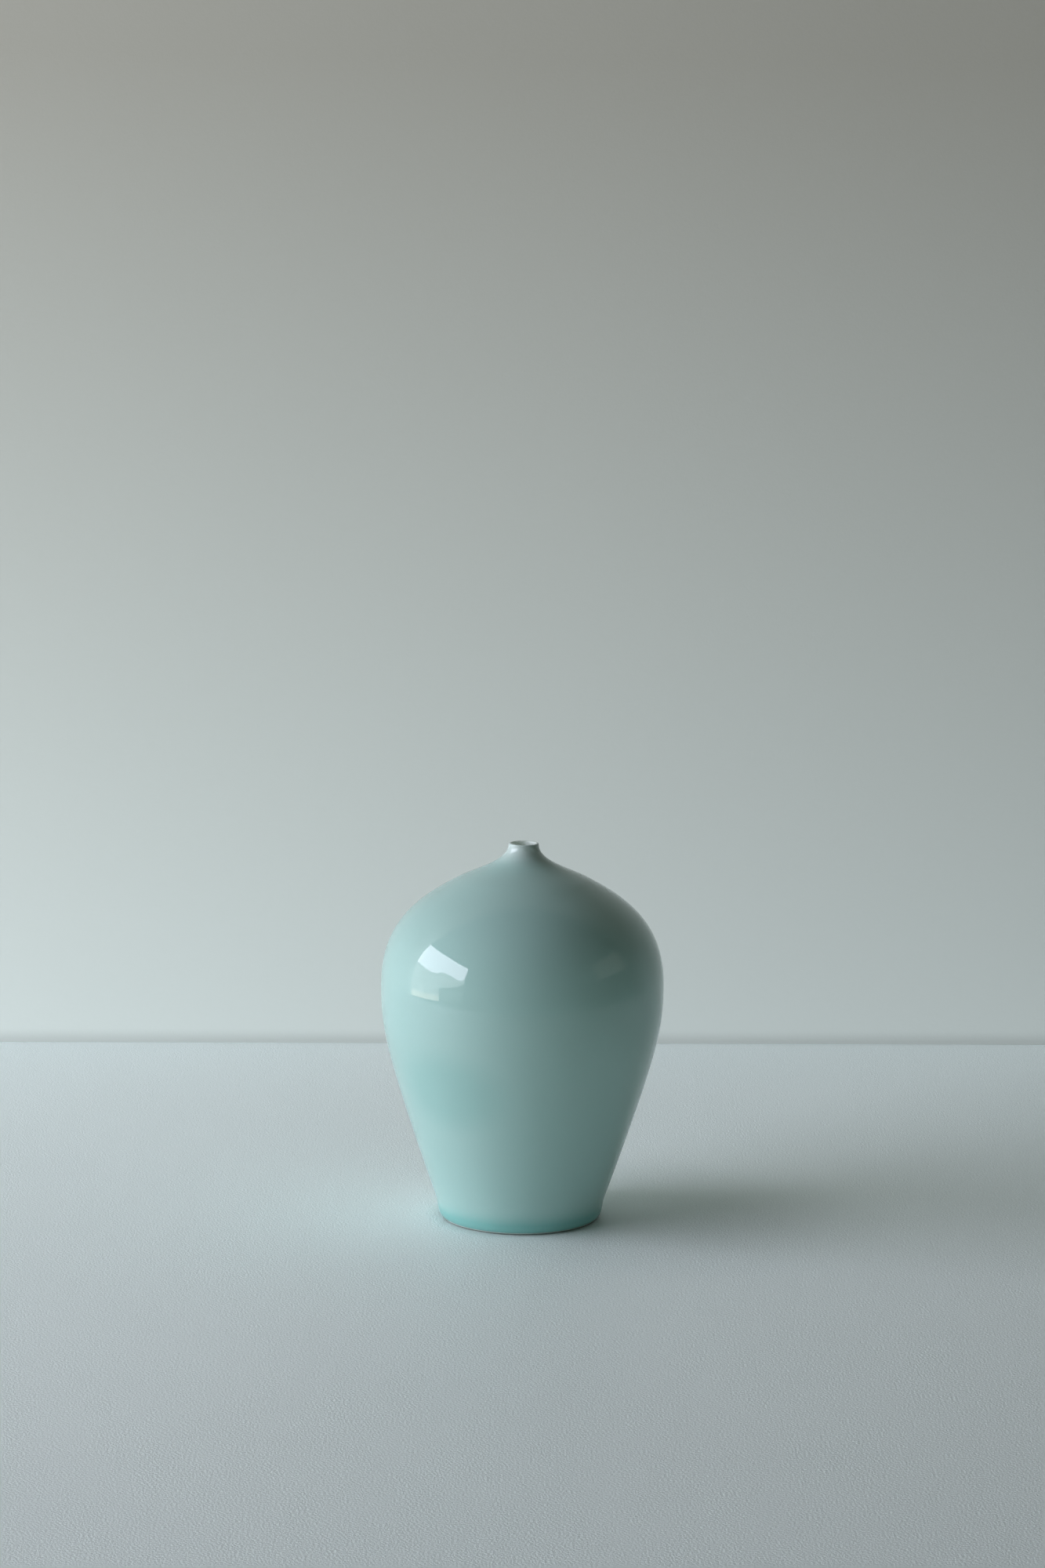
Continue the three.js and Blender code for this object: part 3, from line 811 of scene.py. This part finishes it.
def makeTable():
    turn = math.radians(wall["turn"])
    centreX, centreY = table["centre"]
    rim = []
    for step in range(table["steps"]):
        angle = 2.0 * math.pi * step / table["steps"]
        x = centreX + table["radius"] * math.cos(angle)
        y = centreY + table["radius"] * math.sin(angle)
        rim.append((x, min(y, table["back"] + x * math.tan(turn))))
    count = len(rim)
    top = [(x, y, -table["gap"]) for x, y in rim]
    below = [(x, y, -table["thick"]) for x, y in rim]
    faces = [list(range(count)), list(range(2 * count - 1, count - 1, -1))]
    faces += [[(i + 1) % count, i, count + i, count + (i + 1) % count] for i in range(count)]
    material, tree, place, shader = makePaint("paleTable", table)
    split = put(tree, "ShaderNodeSeparateXYZ", {0: place}).outputs
    far = put(tree, "ShaderNodeMapRange", {   # it glows a little more towards the wall
        "Value": split["Y"], "From Min": table["glowFrom"], "From Max": table["glowTo"]}).outputs[0]
    clearOfVase = put(tree, "ShaderNodeMapRange", {   # less of it where the vase stands in the way
        "Value": vectorCalc(tree, "DISTANCE", place, table["shadeAt"]),
        "From Min": table["shadeNear"], "From Max": table["shadeFar"],
    }, interpolation_type="SMOOTHSTEP").outputs[0]
    # painted shade: less glow in a narrow ring close round the foot
    clearOfFoot = put(tree, "ShaderNodeMapRange", {
        "Value": vectorCalc(tree, "LENGTH", place),
        "From Min": table["footNear"], "From Max": table["footFar"],
    }, interpolation_type="SMOOTHSTEP").outputs[0]
    far = calc(tree, "MULTIPLY", far, calc(tree, "MINIMUM", clearOfVase, clearOfFoot))
    tree.links.new(vectorCalc(tree, "SCALE", table["glow"], far), shader.inputs["Emission Color"])
    shader.inputs["Emission Strength"].default_value = 1.0
    put(tree, "ShaderNodeOutputMaterial", {"Surface": shader.outputs[0]})
    board = stageMesh("table", top + below, faces, material)
    edge = board.modifiers.new("edge", "BEVEL")
    edge.width, edge.segments, edge.limit_method = table["edge"], 4, "ANGLE"


# The wall glows a little, more to the left and towards its foot, and is clear from behind
def makeWall():
    slope = math.tan(math.radians(wall["turn"]))
    ends = [(x, wall["distance"] + x * slope) for x in (wall["left"], wall["right"])]
    corners = [(*ends[0], wall["bottom"]), (*ends[1], wall["bottom"]),
               (*ends[1], wall["top"]), (*ends[0], wall["top"])]
    material, tree, place, shader = makePaint("paleWall", wall)
    split = put(tree, "ShaderNodeSeparateXYZ", {0: place}).outputs
    height = put(tree, "ShaderNodeMapRange", {"Value": split["Z"], "From Max": wall["highAt"]}).outputs[0]
    tint = put(tree, "ShaderNodeMix", {
        0: height, 6: (*wall["glowLow"], 1.0), 7: (*wall["glowHigh"], 1.0)}, data_type="RGBA").outputs[2]
    foot = put(tree, "ShaderNodeMapRange", {   # painted shade: a soft dark line where the wall meets the table
        "Value": split["Z"], "From Max": wall["footReach"], "To Min": wall["footShade"], "To Max": 1.0,
    }, interpolation_type="SMOOTHSTEP").outputs[0]
    fall = calc(tree, "EXPONENT", calc(tree, "MULTIPLY", split["X"], wall["falloff"]))
    fall = calc(tree, "MULTIPLY", fall, foot)
    tree.links.new(tint, shader.inputs["Emission Color"])
    tree.links.new(fall, shader.inputs["Emission Strength"])
    behind = put(tree, "ShaderNodeNewGeometry").outputs["Backfacing"]
    clear = put(tree, "ShaderNodeBsdfTransparent").outputs[0]
    both = put(tree, "ShaderNodeMixShader", {0: behind, 1: shader.outputs[0], 2: clear}).outputs[0]
    put(tree, "ShaderNodeOutputMaterial", {"Surface": both})
    stageMesh("wall", corners, [(0, 1, 2, 3)], material)


# The window on the left is one glowing pane: sky over hills, a dark block of shade and a pale sill
window = {
    "x": -1.7, "near": -1.541, "far": 0.278, "low": -0.156, "high": 1.145,
    "sky": (6.9, 7.0, 8.0), "hills": (2.5, 2.6, 2.6), "shade": (0.45, 0.5, 0.45),
    "sill": (4.0, 3.6, 3.1), "sillTop": -0.048, "shadeFrom": -0.638,
    "skyline": ((0.0, 0.639), (0.13, 0.531), (0.49, 0.585), (0.61, 0.471), (0.86, 0.50), (1.0, 0.54)),
    "shadeTop": ((0.0, 0.43), (0.5, 0.14), (1.0, 0.14)),
    "treeScale": 9.0, "treeHeight": 0.07, "leafScale": 7.0,
}


def heightCurve(tree, value, points):   # the curve node holds heights from 0 to 1 metre
    node = put(tree, "ShaderNodeFloatCurve", {"Value": value})
    curve = node.mapping.curves[0]
    curve.points[0].location, curve.points[1].location = points[0], points[-1]
    for x, y in points[1:-1]:
        curve.points.new(x, y)
    node.mapping.update()
    return node.outputs[0]


def choose(tree, mask, low, high):
    return put(tree, "ShaderNodeMix", {0: mask, 6: low, 7: high}, data_type="RGBA").outputs[2]


def makeWindow():
    material, tree = newMaterial("windowLight")
    place = put(tree, "ShaderNodeSeparateXYZ", {
        0: put(tree, "ShaderNodeTexCoord").outputs["Object"]}).outputs
    share = put(tree, "ShaderNodeMapRange", {
        "Value": place["Y"], "From Min": window["near"], "From Max": window["far"]}).outputs[0]
    trees = put(tree, "ShaderNodeTexNoise", {"W": place["Y"], "Scale": window["treeScale"], "Detail": 4.0},
                noise_dimensions="1D").outputs[0]
    ragged = calc(tree, "MULTIPLY", calc(tree, "SUBTRACT", trees, 0.5), window["treeHeight"])
    skyline = calc(tree, "ADD", heightCurve(tree, share, window["skyline"]), ragged)
    leaves = put(tree, "ShaderNodeTexNoise", {
        "Vector": put(tree, "ShaderNodeTexCoord").outputs["Object"],
        "Scale": window["leafScale"], "Detail": 5.0}).outputs[0]
    hills = vectorCalc(tree, "SCALE", window["hills"], put(tree, "ShaderNodeMapRange", {
        "Value": leaves, "From Min": 0.3, "From Max": 0.7, "To Min": 0.8, "To Max": 1.2}).outputs[0])
    view = choose(tree, calc(tree, "GREATER_THAN", place["Z"], skyline), hills, (*window["sky"], 1.0))
    isShade = calc(tree, "MULTIPLY", calc(tree, "LESS_THAN", place["Y"], window["shadeFrom"]),
                   calc(tree, "LESS_THAN", place["Z"], heightCurve(tree, share, window["shadeTop"])))
    view = choose(tree, isShade, view, (*window["shade"], 1.0))
    isSill = calc(tree, "MULTIPLY", calc(tree, "GREATER_THAN", place["Y"], window["shadeFrom"]),
                  calc(tree, "LESS_THAN", place["Z"], window["sillTop"]))
    view = choose(tree, isSill, view, (*window["sill"], 1.0))
    glow = put(tree, "ShaderNodeEmission", {"Color": view, "Strength": 1.0}).outputs[0]
    put(tree, "ShaderNodeOutputMaterial", {"Surface": glow})
    x, near, far, low, high = (window[key] for key in ("x", "near", "far", "low", "high"))
    pane = stageMesh("window", [(x, near, low), (x, far, low), (x, far, high), (x, near, high)],
                     [(0, 1, 2, 3)], material)
    pane.visible_camera = False


# Softboxes light the surfaces but don't show in the glaze: a low wide one on the left, and a weak
# one behind the camera
softboxes = {
    "side": {"corners": ((-1.95, -1.0, -0.05), (-1.95, 0.2, -0.05), (-1.95, 0.2, 0.9), (-1.95, -1.0, 0.9)),
             "colour": (5.6, 5.35, 5.6)},
    "fill": {"corners": ((-1.3, -2.1, -0.4), (-1.3, -2.1, 0.9), (0.2, -2.4, 0.9), (0.2, -2.4, -0.4)),
             "colour": (0.49, 0.66, 0.53)},
}
# A dim far window on the right, with slats
farWindow = {"x": 2.5, "near": -1.25, "far": 0.26, "low": 0.62, "high": 1.46, "slats": 60.0,
             "dim": (0.08, 0.09, 0.07), "bright": (0.60, 0.64, 0.59)}


def makeGlowPanels():
    for name, look in softboxes.items():
        material, tree = newMaterial(name + "Light")
        glow = put(tree, "ShaderNodeEmission", {
            "Color": (*look["colour"], 1.0), "Strength": 1.0}).outputs[0]
        put(tree, "ShaderNodeOutputMaterial", {"Surface": glow})
        box = stageMesh(name + "Softbox", look["corners"], [(0, 1, 2, 3)], material)
        box.visible_camera = box.visible_glossy = False

    material, tree = newMaterial("farWindowLight")
    place = put(tree, "ShaderNodeSeparateXYZ", {
        0: put(tree, "ShaderNodeTexCoord").outputs["Object"]}).outputs
    slat = calc(tree, "SINE", calc(tree, "MULTIPLY", place["Z"], farWindow["slats"]))
    light = choose(tree, put(tree, "ShaderNodeMapRange", {
        "Value": slat, "From Min": -0.4, "From Max": 0.4}).outputs[0],
        (*farWindow["dim"], 1.0), (*farWindow["bright"], 1.0))
    glow = put(tree, "ShaderNodeEmission", {"Color": light, "Strength": 1.0}).outputs[0]
    put(tree, "ShaderNodeOutputMaterial", {"Surface": glow})
    x, near, far, low, high = (farWindow[key] for key in ("x", "near", "far", "low", "high"))
    panel = stageMesh("farWindow", [(x, near, low), (x, far, low), (x, far, high), (x, near, high)],
                      [(0, 1, 2, 3)], material)
    panel.visible_camera = False


# What is beyond the room: little light on the vase, and a pale backdrop for the camera
studio = {"ambient": (0.012, 0.016, 0.012), "backdrop": (0.42, 0.45, 0.44)}


def makeWorld():
    world = bpy.data.worlds.new("studio")
    bpy.context.scene.world = world
    world.use_nodes = True
    tree = world.node_tree
    tree.nodes.clear()
    dim = put(tree, "ShaderNodeBackground", {
        "Color": (*studio["ambient"], 1.0), "Strength": 1.0}).outputs[0]
    pale = put(tree, "ShaderNodeBackground", {
        "Color": (*studio["backdrop"], 1.0), "Strength": 1.0}).outputs[0]
    seen = put(tree, "ShaderNodeLightPath").outputs["Is Camera Ray"]
    both = put(tree, "ShaderNodeMixShader", {0: seen, 1: dim, 2: pale}).outputs[0]
    put(tree, "ShaderNodeOutputWorld", {"Surface": both})


# Lens and sensor in millimetres, distance and height in metres, angles in degrees
view = {"lens": 85.0, "sensor": 36.0, "across": -0.00077, "distance": 1.5392, "height": 0.423,
        "down": 8.743, "roll": 0.579}


def makeCamera():
    data = bpy.data.cameras.new("camera")
    data.lens, data.sensor_width, data.sensor_fit = view["lens"], view["sensor"], "AUTO"
    camera = bpy.data.objects.new("camera", data)
    bpy.context.scene.collection.objects.link(camera)
    camera.matrix_world = (
        Matrix.Translation((view["across"], -view["distance"], view["height"]))
        @ Matrix.Rotation(math.radians(90.0 - view["down"]), 4, "X")
        @ Matrix.Rotation(math.radians(view["roll"]), 4, "Z"))
    bpy.context.scene.camera = camera


makeTable()
makeWall()
makeWindow()
makeGlowPanels()
makeWorld()
makeCamera()
bpy.context.scene.view_settings.view_transform = "Standard"
print("room, light and camera made")
